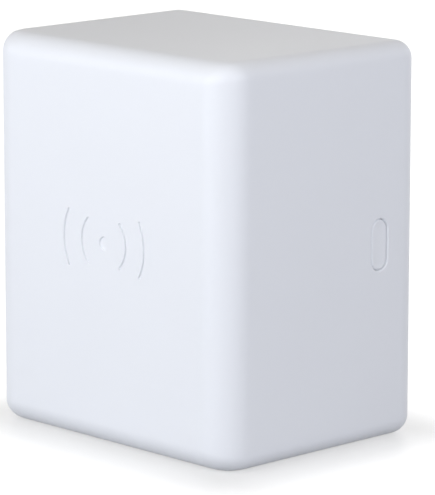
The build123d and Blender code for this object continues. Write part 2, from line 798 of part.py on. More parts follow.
with BuildPart() as crystals:
    for shares in crystal_shares:
        block(under_shield(shares), crystal_size[0], crystal_size[1], radio_rear + crystal_size[2],
              radio_rear)
finish(crystals, "crystals")

# Heat path: soft pad on the shield lid and an aluminium plate on the pad, as wide as the ribs
# beside it allow
pad_top = lid_top + thermal_pad_thickness
spreader_top = pad_top + spreader_thickness
with BuildPart() as thermal_pad:
    block(shield_place, thermal_pad_side, thermal_pad_side, pad_top, lid_top)
finish(thermal_pad, "thermal_pad")

sheet_wide = 2 * (rib_cut - sheet_gap)
spreader_wide = sheet_wide - 2 * sheet_border
with BuildPart() as heat_spreader:
    block(shield_place, spreader_wide, spreader_tall, spreader_top, pad_top)
finish(heat_spreader, "heat_spreader")

# Insulating sheet stuck to the plate, between it and the power supply
with BuildPart() as insulator_sheet:
    block(shield_place, sheet_wide, spreader_tall + 2 * sheet_border, spreader_top + sheet_thickness,
          spreader_top)
finish(insulator_sheet, "insulator_sheet")


def antenna(place, across, up, stand):
    """Stamped plate on two legs, with a slot between them, in front of the radio board."""
    x, z = place
    plate_rear = radio_front - stand
    block((x, z), across, up, plate_rear, plate_rear - antenna_sheet)
    for side in (-1, 1):
        foot_x = x + side * (across / 2 - antenna_leg / 2)
        block((foot_x, z - up / 2 + antenna_sheet / 2), antenna_leg, antenna_sheet, radio_front,
              plate_rear - antenna_sheet)
    block((x, z), across - 2 * antenna_leg - 2 * antenna_slot, antenna_slot, plate_rear + overrun,
          plate_rear - overrun, Mode.SUBTRACT)


wifi_antenna_end = side_inside - step_reach - wifi_antenna_gap
wifi_antenna_wide = wifi_antenna_end - wifi_antennas_apart / 2
wifi_antenna_z = mid + wifi_antenna_rise_share * board_height
with BuildPart() as wifi_antennas:
    for side in (-1, 1):
        place = (side * (wifi_antenna_end - wifi_antenna_wide / 2), wifi_antenna_z)
        antenna(place, wifi_antenna_wide, wifi_antenna_tall, wifi_antenna_stand)
finish(wifi_antennas, "wifi_antennas")

with BuildPart() as camera_antenna:
    antenna(on_board(camera_antenna_shares), camera_antenna_wide, camera_antenna_tall,
            camera_antenna_stand)
finish(camera_antenna, "camera_antenna")

# Status light and the light pipe in front of it
with BuildPart() as status_led:
    block(light_place, led_wide, led_tall, radio_front, radio_front - led_deep)
finish(status_led, "status_led")

with BuildPart() as light_pipe:
    rod(light_place, light_radius, light_rear, light_front)
    block(light_place, light_flange_side, light_flange_side, light_rear, light_seat)
finish(light_pipe, "light_pipe")
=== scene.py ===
import json
import math
import bpy
import numpy as np
from mathutils import Matrix, Vector


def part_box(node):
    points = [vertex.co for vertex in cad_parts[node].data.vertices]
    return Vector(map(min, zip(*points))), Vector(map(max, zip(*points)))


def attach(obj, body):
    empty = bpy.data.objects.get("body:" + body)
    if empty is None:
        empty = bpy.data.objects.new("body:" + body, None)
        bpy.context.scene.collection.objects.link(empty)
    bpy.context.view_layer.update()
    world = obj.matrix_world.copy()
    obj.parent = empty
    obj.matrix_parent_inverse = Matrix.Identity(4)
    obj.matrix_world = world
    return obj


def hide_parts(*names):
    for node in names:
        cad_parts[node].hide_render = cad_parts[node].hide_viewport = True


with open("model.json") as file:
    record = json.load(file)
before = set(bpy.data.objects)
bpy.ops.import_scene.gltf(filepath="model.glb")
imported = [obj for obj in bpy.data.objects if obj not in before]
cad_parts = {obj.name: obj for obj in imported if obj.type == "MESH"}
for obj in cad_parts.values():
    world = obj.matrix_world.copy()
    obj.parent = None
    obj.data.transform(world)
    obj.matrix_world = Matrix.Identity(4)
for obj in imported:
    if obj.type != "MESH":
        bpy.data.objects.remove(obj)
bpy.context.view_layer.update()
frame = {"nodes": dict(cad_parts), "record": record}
mm = 0.001
mergeDistance = 0.0005 * mm     # points nearer than this are one
sharpAngle = 35.0               # degrees between two faces past which their edge stays sharp
tiny = 1e-9                     # keeps a division from meeting zero
print("frame loaded:", len(frame["nodes"]), "nodes")

# View, light and floor
cameraSet = {
    "azimuth": 46.174, "elevation": 11.312, "roll": 0.0693,    # degrees, from the right front
    "distance": 0.62595, "lens": 257.95, "sensor": 36.0, "nearest": 0.01,
    "aim": (0.0, 0.0, 0.035), "shiftRight": 0.002420, "shiftUp": -0.002897,
}
lightSet = {
    # name: (direction towards the lamp, distance, size, power, colour)
    "frontKey": ((-0.10, -1.0, 0.25), 0.60, 0.50, 1.68, (0.84, 0.90, 1.0)),
    "frontNear": ((0.25, -1.0, 0.90), 0.32, 0.25, 0.225, (1.0, 0.97, 0.90)),
    "leftFill": ((-0.7, -1.0, 0.15), 0.60, 0.50, 1.43, (0.87, 0.91, 1.0)),
    "rightFill": ((1.0, -0.15, 0.20), 0.55, 0.50, 2.07, (0.85, 0.89, 1.0)),
    "rearKey": ((0.10, 1.0, 0.20), 0.70, 0.50, 0.85, (0.90, 0.94, 1.0)),
    "rearFill": ((-0.5, 1.0, 0.30), 0.70, 0.50, 0.42, (0.95, 0.97, 1.0)),
}
skySet = {"seen": (1.0, 1.0, 1.0, 1.0), "light": (1.0, 0.86, 0.64, 1.0), "strength": 0.135}
floorSet = {
    "half": 4.0, "white": (0.40, 0.40, 0.40, 1.0), "roughness": 0.40, "gloss": 0.15,
    # brightness added where it is seen, less at the object's foot, a painted shadow there, and more from a
    # distance of it on
    "paintedShadowLift": 0.51, "liftFar": 0.84, "away": 0.019,
}


def placeCamera():
    # back = (sin a cos e, -cos a cos e, sin e); the camera stands at aim + distance * back
    a, e = math.radians(cameraSet["azimuth"]), math.radians(cameraSet["elevation"])
    back = Vector((math.sin(a) * math.cos(e), -math.cos(a) * math.cos(e), math.sin(e)))
    right = Vector((math.cos(a), math.sin(a), 0.0))
    up = back.cross(right)
    r = math.radians(cameraSet["roll"])
    right, up = right * math.cos(r) + up * math.sin(r), up * math.cos(r) - right * math.sin(r)
    aim = Vector(cameraSet["aim"]) + right * cameraSet["shiftRight"] + up * cameraSet["shiftUp"]
    lens = bpy.data.cameras.new("camera")
    lens.lens = cameraSet["lens"]
    lens.sensor_width = cameraSet["sensor"]
    lens.clip_start = cameraSet["nearest"]
    camera = bpy.data.objects.new("camera", lens)
    turn = Matrix((right, up, back)).transposed()
    camera.matrix_world = Matrix.Translation(aim + back * cameraSet["distance"]) @ turn.to_4x4()
    bpy.context.scene.collection.objects.link(camera)
    bpy.context.scene.camera = camera
    bpy.context.scene.view_settings.view_transform = "Standard"


def placeLights():
    # each lamp is a square that faces the middle of the object from its direction
    middle = Vector(cameraSet["aim"])
    for name, (direction, distance, size, power, colour) in lightSet.items():
        lamp = bpy.data.lights.new(name, "AREA")
        lamp.size = size
        lamp.energy = power
        lamp.color = colour
        holder = bpy.data.objects.new(name, lamp)
        away = Vector(direction).normalized()
        holder.location = middle + away * distance
        holder.rotation_euler = away.to_track_quat("Z", "Y").to_euler()
        bpy.context.scene.collection.objects.link(holder)


class Sock:
    # one shader socket with arithmetic: an expression on it adds its Math nodes
    def __init__(self, tree, socket):
        self.tree = tree
        self.socket = socket

    def node(self, kind, settings=None, **sockets):
        # adds a node of any type, with its settings first and then its sockets, by name or as i0, i1
        made = self.tree.nodes.new(kind)
        for key, value in (settings or {}).items():
            setattr(made, key, value)
        for key, value in sockets.items():
            slot = made.inputs[int(key[1:])] if key[1:].isdigit() else made.inputs[key.replace("_", " ")]
            if isinstance(value, Sock):
                self.tree.links.new(value.socket, slot)
            else:
                slot.default_value = value
        return made

    def out(self, made, name=0):
        return Sock(self.tree, made.outputs[name])

    def maths(self, operation, *values):
        inputs = {f"i{k}": v for k, v in enumerate(values)}
        return self.out(self.node("ShaderNodeMath", {"operation": operation}, **inputs))

    def vectors(self, operation, *values, name=0):
        inputs = {f"i{k}": v for k, v in enumerate(values)}
        return self.out(self.node("ShaderNodeVectorMath", {"operation": operation}, **inputs), name)

    def __add__(self, other):
        return self.maths("ADD", self, other)

    def __radd__(self, other):
        return self.maths("ADD", other, self)

    def __sub__(self, other):
        return self.maths("SUBTRACT", self, other)

    def __rsub__(self, other):
        return self.maths("SUBTRACT", other, self)

    def __mul__(self, other):
        return self.maths("MULTIPLY", self, other)

    def __rmul__(self, other):
        return self.maths("MULTIPLY", other, self)

    def __gt__(self, other):
        return self.maths("GREATER_THAN", self, other)


def newMaterial(name):
    # an empty principled material, and a socket with the place on the piece
    material = bpy.data.materials.new(name)
    material.use_nodes = True
    tree = material.node_tree
    tree.nodes.clear()
    shader = tree.nodes.new("ShaderNodeBsdfPrincipled")
    output = tree.nodes.new("ShaderNodeOutputMaterial")
    tree.links.new(shader.outputs[0], output.inputs[0])
    place = Sock(tree, tree.nodes.new("ShaderNodeTexCoord").outputs["Object"])
    return material, shader, place


def feed(shader, **values):
    # links each varying value to the shader's socket, or sets a plain one
    for name, value in values.items():
        slot = shader.inputs[name.replace("_", " ")]
        if isinstance(value, Sock):
            value.tree.links.new(value.socket, slot)
        else:
            slot.default_value = value


def noise(place, scale, detail=3.0, roughness=0.55):
    made = place.node("ShaderNodeTexNoise", None, Vector=place, Scale=scale, Detail=detail,
                      Roughness=roughness)
    return place.out(made, "Fac")


def stretch(place, factors):
    made = place.node("ShaderNodeMapping", None, Vector=place, Scale=factors)
    return place.out(made)


def mixColour(amount, first, second):
    made = amount.node("ShaderNodeMix", {"data_type": "RGBA"}, i0=amount, i6=first, i7=second)
    return amount.out(made, 2)


def bump(height, strength, depth):
    made = height.node("ShaderNodeBump", None, Height=height, Strength=strength, Distance=depth)
    return height.out(made, "Normal")


def seenRay(place):
    # 1 on rays that come from the camera, a mirroring or a clear surface, and 0 on those that light
    path = place.node("ShaderNodeLightPath")
    camera, mirror, through = (place.out(path, f"Is {kind} Ray")
                               for kind in ("Camera", "Glossy", "Transmission"))
    return place.maths("MAXIMUM", camera, place.maths("MAXIMUM", mirror, through))


def shade(colour, factor):
    return (colour[0] * factor, colour[1] * factor, colour[2] * factor, 1.0)


plasticSet = {
    # slot: (colour, roughness, grain per metre, grain depth, change of colour)
    "white_plastic": ((0.875, 0.890, 0.925), 0.46, 2600.0, 0.006 * mm, 0.012),
    "inner_plastic": ((0.030, 0.030, 0.033), 0.48, 2200.0, 0.010 * mm, 0.25),
    "component_case": ((0.018, 0.018, 0.020), 0.55, 4200.0, 0.012 * mm, 0.30),
    "yellow_case": ((0.72, 0.50, 0.07), 0.30, 1500.0, 0.004 * mm, 0.08),
    "blue_coating": ((0.030, 0.110, 0.420), 0.26, 900.0, 0.030 * mm, 0.18),
    "soft_pad": ((0.36, 0.42, 0.50), 0.82, 3000.0, 0.020 * mm, 0.15),
    "sheet": ((0.78, 0.76, 0.68), 0.38, 1400.0, 0.006 * mm, 0.06),
    "led_case": ((0.88, 0.86, 0.78), 0.22, 1800.0, 0.003 * mm, 0.05),
    "winding_tape": ((0.80, 0.60, 0.08), 0.34, 700.0, 0.030 * mm, 0.12),
}
metalSet = {
    # slot: (colour, roughness, streaks along x, y, z per metre, streak depth)
    "steel": ((0.58, 0.58, 0.60), 0.30, (900.0, 900.0, 900.0), 0.003 * mm),
    "plated_brass": ((0.72, 0.70, 0.66), 0.24, (2600.0, 160.0, 2600.0), 0.002 * mm),
    "plated_steel": ((0.66, 0.67, 0.68), 0.28, (320.0, 2400.0, 2400.0), 0.002 * mm),
    "aluminium": ((0.77, 0.78, 0.79), 0.34, (180.0, 2000.0, 2600.0), 0.003 * mm),
}


def plasticFinish(name, colour, roughness, grain, depth, change):
    # moulded surface: fine grain in the bump, slow change of colour and of gloss
    material, shader, place = newMaterial(name)
    slow = noise(place, grain * 0.02, 2.0)
    fine = noise(place, grain, 2.0)
    feed(shader, Base_Color=mixColour(slow, shade(colour, 1.0 - change), shade(colour, 1.0 + change * 0.3)),
         Roughness=slow * 0.08 + fine * 0.06 + (roughness - 0.07), Normal=bump(fine, 0.5, depth))
    return material


def metalFinish(name, colour, roughness, streaks, depth):
    # rolled or turned metal: fine streaks one way, and faint stains in the gloss
    material, shader, place = newMaterial(name)
    streak = noise(stretch(place, streaks), 1.0, 2.0)
    stain = noise(place, 260.0, 4.0)
    feed(shader, Base_Color=mixColour(stain, shade(colour, 0.90), shade(colour, 1.0)), Metallic=1.0,
         Roughness=streak * 0.10 + stain * 0.10 + (roughness - 0.10), Normal=bump(streak, 0.4, depth))
    return material


ferriteSet = {
    "dark": (0.022, 0.022, 0.024, 1.0), "pale": (0.060, 0.060, 0.064, 1.0),
    "speckle": 5200.0, "pits": 2600.0, "roughness": 0.45, "change": 0.25, "depth": 0.02 * mm,
}


def ferriteFinish():
    # sintered grey-black core: speckle and small pits
    s = ferriteSet
    material, shader, place = newMaterial("ferrite")
    speck = noise(place, s["speckle"], 3.0)
    pits = place.out(place.node("ShaderNodeTexVoronoi", None, Vector=place, Scale=s["pits"]))
    feed(shader, Base_Color=mixColour(speck, s["dark"], s["pale"]),
         Roughness=speck * s["change"] + s["roughness"],
         Normal=bump(pits * 0.6 + speck * 0.4, 0.6, s["depth"]))
    return material


boardSet = {
    "mask": (0.010, 0.085, 0.045, 1.0), "track": (0.020, 0.150, 0.075, 1.0), "pad": (0.62, 0.56, 0.40, 1.0),
    "tracks": 420.0, "warp": 9.0, "trackLevel": 0.62, "patches": 90.0, "patchLevel": 0.46,
    "pads": 330.0, "padSize": 0.16, "padPatches": 120.0, "padLevel": 0.52,
    "roughness": 0.36, "depth": 0.03 * mm,
}


def boardFinish():
    # solder mask over copper: narrow tracks as the bands of a warped wave, and plated dots
    s = boardSet
    material, shader, place = newMaterial("board")
    patches = noise(place, s["patches"], 1.0)
    wave = place.out(place.node("ShaderNodeTexWave", {"bands_direction": "X"}, Vector=place,
                                Scale=s["tracks"], Distortion=s["warp"], Detail=0.0), "Fac")
    tracks = (wave > s["trackLevel"]) * (patches > s["patchLevel"])
    dots = place.out(place.node("ShaderNodeTexVoronoi", {"feature": "F1"}, Vector=place, Scale=s["pads"]))
    pads = (s["padSize"] - dots > 0.0) * (noise(place, s["padPatches"], 1.0) > s["padLevel"])
    mask = mixColour(tracks, s["mask"], s["track"])
    feed(shader, Base_Color=mixColour(pads, mask, s["pad"]), Metallic=pads * 0.9,
         Roughness=s["roughness"] - pads * 0.08, Normal=bump(tracks * 0.6 + pads * 0.4, 0.5, s["depth"]))
    return material


canSet = {
    "dark": (0.012, 0.016, 0.040, 1.0), "pale": (0.030, 0.034, 0.070, 1.0),
    "wrinkles": (300.0, 1600.0, 300.0), "roughness": 0.20, "coat": 0.2, "depth": 0.02 * mm,
}


def canFinish():
    # shrunk sleeve of a capacitor: gloss film with soft wrinkles round the can
    s = canSet
    material, shader, place = newMaterial("capacitor_can")
    wrinkle = noise(stretch(place, s["wrinkles"]), 1.0, 2.0)
    slow = noise(place, 120.0, 1.0)
    feed(shader, Base_Color=mixColour(slow, s["dark"], s["pale"]), Coat_Weight=slow * 0.3 + s["coat"],
         Roughness=wrinkle * 0.12 + s["roughness"], Normal=bump(wrinkle, 0.3, s["depth"]))
    return material


clearSet = {
    "low": (0.90, 0.94, 0.96, 1.0), "high": (0.96, 0.98, 1.0, 1.0), "flow": (900.0, 200.0, 900.0),
    "roughness": 0.04, "depth": 0.004 * mm, "clearness": 0.9, "bending": 1.49,
}


def clearFinish():
    # clear moulded plastic: faint flow lines in the gloss
    s = clearSet
    material, shader, place = newMaterial("clear_plastic")
    flow = noise(stretch(place, s["flow"]), 1.0, 2.0)
    feed(shader, Base_Color=mixColour(flow, s["low"], s["high"]), Roughness=flow * 0.08 + s["roughness"],
         Normal=bump(flow, 0.2, s["depth"]), Transmission_Weight=s["clearness"], IOR=s["bending"])
    return material


placeCamera()
placeLights()
finishes = {name: plasticFinish(name, *values) for name, values in plasticSet.items()}
finishes.update({name: metalFinish(name, *values) for name, values in metalSet.items()})
finishes.update({"ferrite": ferriteFinish(), "board": boardFinish(), "capacitor_can": canFinish(),
                 "clear_plastic": clearFinish()})
print("camera, lights and", len(finishes), "finishes made")


def placeFloor():
    # a flat plate with its top at z = 0; its shadow and its light stay, and the camera sees it lifted, less
    # at the object's foot, where the smaller lift is a painted shadow
    half = floorSet["half"]
    corners = [(-half, -half, 0), (half, -half, 0), (half, half, 0), (-half, half, 0)]
    mesh = bpy.data.meshes.new("floor")
    mesh.from_pydata(corners, [], [(0, 1, 2, 3)])
    floor = bpy.data.objects.new("floor", mesh)
    bpy.context.scene.collection.objects.link(floor)
    material, shader, place = newMaterial("floor")
    feed(shader, Base_Color=floorSet["white"], Roughness=floorSet["roughness"],
         Specular_IOR_Level=floorSet["gloss"])
    # distance from the object's foot: length of max(|place| - foot, 0)
    low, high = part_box("front_shell")
    foot = (high.x, -low.y, 0.0)
    beyond = place.vectors("ABSOLUTE", place)
    beyond = place.vectors("SUBTRACT", beyond, foot)
    beyond = place.vectors("MAXIMUM", beyond, (0.0, 0.0, 0.0))
    away = place.vectors("LENGTH", beyond, name="Value")
    # the lift grows with the distance from the foot: a painted shadow round the object's foot, seen by the
    # camera and in mirroring
    share = place.out(place.node("ShaderNodeMapRange", {"interpolation_type": "SMOOTHSTEP"}, Value=away,
                                 From_Max=floorSet["away"]))
    near, far = ((floorSet[k],) * 3 + (1.0,) for k in ("paintedShadowLift", "liftFar"))
    liftWithPaintedShadow = place.node("ShaderNodeEmission", None, Color=mixColour(share, near, far), Strength=seenRay(place))
    tree = material.node_tree
    both = place.node("ShaderNodeAddShader", None, i0=Sock(tree, shader.outputs[0]), i1=place.out(liftWithPaintedShadow))
    output = next(n for n in tree.nodes if n.type == "OUTPUT_MATERIAL")
    tree.links.new(both.outputs[0], output.inputs[0])
    mesh.materials.append(material)


def placeSky():
    # the sky is white where it is seen, mirrored or seen through, and a dimmer white where it lights
    world = bpy.data.worlds.new("sky")
    world.use_nodes = True
    tree = world.node_tree
    tree.nodes.clear()
    sky = Sock(tree, None)
    lit = sky.out(sky.node("ShaderNodeBackground", None, Color=skySet["light"], Strength=skySet["strength"]))
    seen = sky.out(sky.node("ShaderNodeBackground", None, Color=skySet["seen"]))
    choose = sky.out(sky.node("ShaderNodeMixShader", None, i0=seenRay(sky), i1=lit, i2=seen))
    sky.node("ShaderNodeOutputWorld", None, Surface=choose)
    bpy.context.scene.world = world


placeFloor()
placeSky()


def weld(points, faces):
    # merges points at the same place, and turns faces with a lost side into triangles
    keys = np.round(points / mergeDistance).astype(np.int64)
    _, first, where = np.unique(keys, axis=0, return_index=True, return_inverse=True)
    faces = where.reshape(-1)[faces]
    same = faces == np.roll(faces, -1, axis=1)
    quads = faces[same.sum(1) == 0]
    short = faces[same.sum(1) == 1]
    gone = same[same.sum(1) == 1]
    triangles = short[~gone].reshape(-1, 3)
    return points[first], quads.tolist() + triangles.tolist()


def grid(rows, columns):
    # quads of a grid that is closed round its columns: point number = row * columns + column
    r, c = np.meshgrid(np.arange(rows - 1), np.arange(columns), indexing="ij")
    n = (c + 1) % columns
    return np.stack([r * columns + c, (r + 1) * columns + c, (r + 1) * columns + n, r * columns + n], -1)


def addPiece(name, points, faces, slot, body, nodes):
    # a smooth mesh at the origin with its finish, body and the nodes that it stands for
    mesh = bpy.data.meshes.new(name)
    mesh.from_pydata(points.tolist(), [], faces)
    mesh.validate()
    mesh.shade_smooth()
    mesh.set_sharp_from_angle(angle=math.radians(sharpAngle))
    mesh.materials.append(finishes[slot])
    piece = bpy.data.objects.new(name, mesh)
    bpy.context.scene.collection.objects.link(piece)
    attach(piece, body)
    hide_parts(*nodes)
    return piece


def roundColumns(sideSteps, cornerSteps):
    # columns of a rounded rectangle, anticlockwise: share runs -1 to 1 along a side while the normal
    # stays, and stays at a corner while the normal turns by a quarter
    along = np.linspace(-1, 1, sideSteps + 1)[1:-1]
    turn = np.linspace(0, math.pi / 2, cornerSteps + 1)
    share, normal = [], []
    for quarter in range(4):
        c, s = (1, 0, -1, 0)[quarter], (0, 1, 0, -1)[quarter]
        side = np.stack([np.ones_like(along), along], 1)
        corner = np.ones((len(turn), 2))
        rotate = np.array([[c, s], [-s, c]])
        share += [side @ rotate, corner @ rotate]
        normal += [np.tile([1.0, 0.0], (len(along), 1)) @ rotate,
                   np.stack([np.cos(turn), np.sin(turn)], 1) @ rotate]
    return np.concatenate(share), np.concatenate(normal)


def outline(columns, half, corner):
    # points of a rounded rectangle: share * (half - corner) + corner * normal
    share, normal = columns
    return share * (np.asarray(half) - corner) + corner * normal


# Front shell
shellSet = {
    "frontRound": (6.0 * mm, 4.0 * mm),     # of the upright edges of the front, and of the level ones
    "rearRound": 4.5 * mm, "sideRound": 3.0 * mm,
    "wall": 2.2 * mm, "insideRound": 1.2 * mm, "insideBevel": 1.8 * mm, "bevelRound": 0.5 * mm,
    "lip": 0.14 * mm,           # rounding of the rim beside the cover
    "near": 0.12 * mm,          # from a tangent line to the loop beside it
    "tolerance": 0.01 * mm,     # nearer to the cavity's skin, a face of the solid belongs to it
    "roundSteps": 18, "cornerSteps": 14, "raySpacing": 1.5,
    "rayClear": 0.2,            # degrees kept free beside a corner's ray
    "approach": 4,              # rows from the front's rounding to the window
    "faceShares": (0.15, 0.35, 0.6, 0.85),      # rows from the mark to the front's edge
    "floorShares": (0.8, 0.5, 0.2, 0.0),        # rows over the inside of the front, to its middle
    "lipShares": (0.25, 0.5, 0.75, 1.0), "settleTurns": 4,
    "windowHalf": (1.95 * mm, 4.55 * mm), "windowEdge": 0.35 * mm,
    "windowBorder": (3.3 * mm, 6.2 * mm), "windowLines": (17, 37), "windowSteps": 6,
    "outerShares": (0.3, 0.6, 1.0), "innerShares": (0.4, 0.7),      # rings between window and border
}
markSet = {
    "rise": 36.0 * mm, "dot": 1.15 * mm, "arcs": ((5.6 * mm, 43.0), (10.2 * mm, 28.0)),
    "stroke": 0.50 * mm, "soft": 0.12 * mm, "depth": 0.30 * mm, "reach": 11.6 * mm,
    "endSpread": 4.0, "endStep": 0.25,   # degrees of dense columns round the ends of the arcs
    "edgeShares": (-0.9, -0.5, -0.25, 0.0, 0.25, 0.5, 0.9),     # rows across an edge, in soft widths
    "dotRows": (0.0, 0.5 * mm), "strokeRows": (0.0, -1.5 * mm, 0.6 * mm),
}
shellLow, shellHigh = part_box("front_shell")
coverLow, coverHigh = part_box("rear_cover")
buttonLow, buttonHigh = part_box("sync_button")
shellHalf = np.array([(shellHigh.x - shellLow.x) / 2, (shellHigh.z - shellLow.z) / 2])
shellMiddle = (shellHigh.z + shellLow.z) / 2
frontFace, rearFace = shellLow.y, coverHigh.y
buttonPlace = np.array([(buttonLow.y + buttonHigh.y) / 2, (buttonLow.z + buttonHigh.z) / 2])


def shellColumns():
    # a column leaves the mark's middle at an angle, meets the edge of the flat front, and goes on over
    # the rounding: share is where it meets a side, from -1 to 1, and normal is that side's; columns
    # at a corner share one angle, and their normals turn
    flat = shellHalf - np.array(shellSet["frontRound"])
    rise = markSet["rise"] - shellMiddle
    rays = np.radians(np.arange(-180.0, 180.0, shellSet["raySpacing"]))
    spread = np.radians(np.arange(-markSet["endSpread"], markSet["endSpread"], markSet["endStep"]))
    for radius, reach in markSet["arcs"]:
        for end in (reach, -reach, 180.0 - reach, reach - 180.0):
            rays = np.concatenate([rays, math.radians(end) + spread])
    lines = np.linspace(-1, 1, shellSet["windowLines"][1]) * shellSet["windowBorder"][1]
    lines = (lines + buttonPlace[1] - shellMiddle) / (shellHalf[1] - shellSet["sideRound"])
    window = np.arctan2(lines * flat[1] - rise, flat[0])
    corners = np.arctan2(np.array([-1, -1, 1, 1]) * flat[1] - rise, np.array([-1, 1, 1, -1]) * flat[0])
    clear = math.radians(shellSet["rayClear"])
    rays = np.unique(np.round(rays, 7))
    rays = rays[(rays < window[0] - clear) | (rays > window[-1] + clear)]
    rays = rays[np.abs(rays[:, None] - corners).min(1) > clear]
    rays = np.concatenate([rays, window])
    way = np.stack([np.cos(rays), np.sin(rays)], 1)
    reachX = flat[0] / np.abs(way[:, 0])
    reachZ = (np.sign(way[:, 1]) * flat[1] - rise) / np.where(way[:, 1] == 0, tiny, way[:, 1])
    onSide = reachX < reachZ
    hit = way * np.minimum(reachX, reachZ)[:, None] + (0, rise)
    share = hit / flat
    normal = np.where(onSide[:, None], np.sign(way) * (1, 0), np.sign(way) * (0, 1))
    turn = np.linspace(0, math.pi / 2, shellSet["cornerSteps"] + 1)
    angle, order = rays, np.zeros(len(rays))
    for k, corner in enumerate(corners):
        bent = turn + (k - 2) * math.pi / 2
        sign = np.array([[-1, -1], [1, -1], [1, 1], [-1, 1]])[k]
        share = np.concatenate([share, np.tile(sign, (len(turn), 1))])
        normal = np.concatenate([normal, np.stack([np.cos(bent), np.sin(bent)], 1)])
        angle = np.concatenate([angle, np.full(len(turn), corner)])
        order = np.concatenate([order, turn])
    rank = np.lexsort((order, angle))
    return (share[rank], normal[rank]), angle[rank], np.flatnonzero(np.isin(angle[rank], window))


def markDepth(x, z):
    # a dot and two arcs on each side of it: 1 inside the strokes, 0 outside, smooth between;
    # the distance to an arc is that to its circle, or to its end beyond its reach
    radius, bent = np.hypot(x, z), np.degrees(np.arctan2(np.abs(z), np.abs(x)))
    away = radius - markSet["dot"]
    for circle, reach in markSet["arcs"]:
        end = np.hypot(np.abs(x) - circle * math.cos(math.radians(reach)),
                       np.abs(z) - circle * math.sin(math.radians(reach)))
        arc = np.where(bent < reach, np.abs(radius - circle), end)
        away = np.minimum(away, arc - markSet["stroke"] / 2)
    level = np.clip(0.5 - away / markSet["soft"], 0, 1)
    return level * level * (3 - 2 * level)


def shellRows(columns, angle):
    # the profile from the middle of the front, over the outside and the rim, to the middle of the
    # inside: each row is (x, z) of its points and their depth y; also the first rows past the mark,
    # of the window outside and of the window inside
    rows, depths = [], []

    def row(inset, corner, depth):
        rows.append(outline(columns, shellHalf - inset, corner))
        depths.append(np.full(len(angle), depth))

    s, middle = shellSet, (0, markSet["rise"] - shellMiddle)
    frontRound = np.array(s["frontRound"])
    columnRound = columns[1] ** 2 @ frontRound
    way = np.stack([np.cos(angle), np.sin(angle)], 1)
    edge = np.array(markSet["edgeShares"]) * markSet["soft"]
    circles = [np.array(markSet["dotRows"]), markSet["dot"] + edge, np.array([markSet["reach"]])]
    for circle, reach in markSet["arcs"]:
        circles += [circle - markSet["stroke"] / 2 + edge, circle + markSet["stroke"] / 2 + edge]
        circles += [circle + np.array(markSet["strokeRows"])]
    circles = np.sort(np.concatenate(circles))
    for circle in circles:
        rows.append(way * circle + middle)
        depths.append(frontFace + markSet["depth"] * markDepth(way[:, 0] * circle, way[:, 1] * circle))
    rim = outline(columns, shellHalf - frontRound - s["near"], 0)
    for share in s["faceShares"]:
        rows.append(rows[len(circles) - 1] * (1 - share) + rim * share)
        depths.append(np.full(len(angle), frontFace))
    row(frontRound + s["near"], 0, frontFace)
    for t in np.linspace(0, math.pi / 2, s["roundSteps"] + 1):
        row(frontRound * (1 - math.sin(t)), s["sideRound"] * math.sin(t),
            frontFace + columnRound * (1 - math.cos(t)))
    start, end = frontFace + frontRound.max() + s["near"], rearFace - s["rearRound"] - s["near"]
    lines = buttonPlace[0] + np.linspace(-1, 1, s["windowLines"][0]) * s["windowBorder"][0]
    outer = len(rows) + s["approach"]
    for depth in (*np.linspace(start, lines[0], s["approach"] + 1)[:-1], *lines, end):
        row(0, s["sideRound"], depth)
    turned = math.acos(1 - (s["wall"] - s["lip"]) / s["rearRound"])
    for t in np.linspace(0, turned, s["roundSteps"]):
        inset = s["rearRound"] * (1 - math.cos(t))
        row(inset, s["sideRound"] + (s["insideRound"] - s["sideRound"]) * inset / s["wall"],
            rearFace - s["rearRound"] * (1 - math.sin(t)))
    tip = rearFace - s["rearRound"] * (1 - math.sin(math.acos(1 - s["wall"] / s["rearRound"])))
    first = (s["wall"] - s["lip"], rearFace - s["rearRound"] * (1 - math.sin(turned)))
    for t in s["lipShares"]:
        weights = ((1 - t) ** 2, 2 * t * (1 - t), t * t)
        row(np.dot(weights, (first[0], s["wall"], s["wall"])), s["insideRound"],
            np.dot(weights, (first[1], tip, tip - s["lip"])))
    inner = len(rows) + 1
    floor = frontFace + s["wall"]
    for depth in (lines[-1] + s["near"], *lines[::-1], floor + s["insideBevel"]):
        row(s["wall"], s["insideRound"], depth)
    row(s["wall"] + s["insideBevel"], s["bevelRound"], floor)
    last = rows[-1]
    for share in s["floorShares"]:
        rows.append(last * share)
        depths.append(np.full(len(angle), floor))
    return np.array(rows), np.array(depths), len(circles), outer, inner


def settle(points):
    # moves points onto an upright block: in plan its front corners are arcs, and its top and bottom
    # edges follow them round; each point goes back by its distance from that surface
    half, (upright, level), side = shellHalf, shellSet["frontRound"], shellSet["sideRound"]
    facing = np.sign(points * (1, 0, 1) - (0, 1, shellMiddle))
    for turn in range(shellSet["settleTurns"]):
        beyond = np.stack([np.abs(points[..., 0]) - half[0], frontFace - points[..., 1]], -1) + upright
        out = np.maximum(beyond, 0)
        length = np.linalg.norm(out, axis=-1)
        normal = out / np.maximum(length, tiny)[..., None]
        plan = length + np.minimum(beyond.max(-1), 0) - upright
        edge = side + (level - side) * normal[..., 1] ** 2
        rise = np.abs(points[..., 2] - shellMiddle) - half[1]
        both = np.stack([plan + edge, rise + edge], -1)
        over = np.maximum(both, 0)
        away = np.linalg.norm(over, axis=-1)
        share = over / np.maximum(away, tiny)[..., None]
        way = np.concatenate([normal * share[..., :1], share[..., 1:]], -1) * facing
        points = points - way * (away + np.minimum(both.max(-1), 0) - edge)[..., None]
    return points


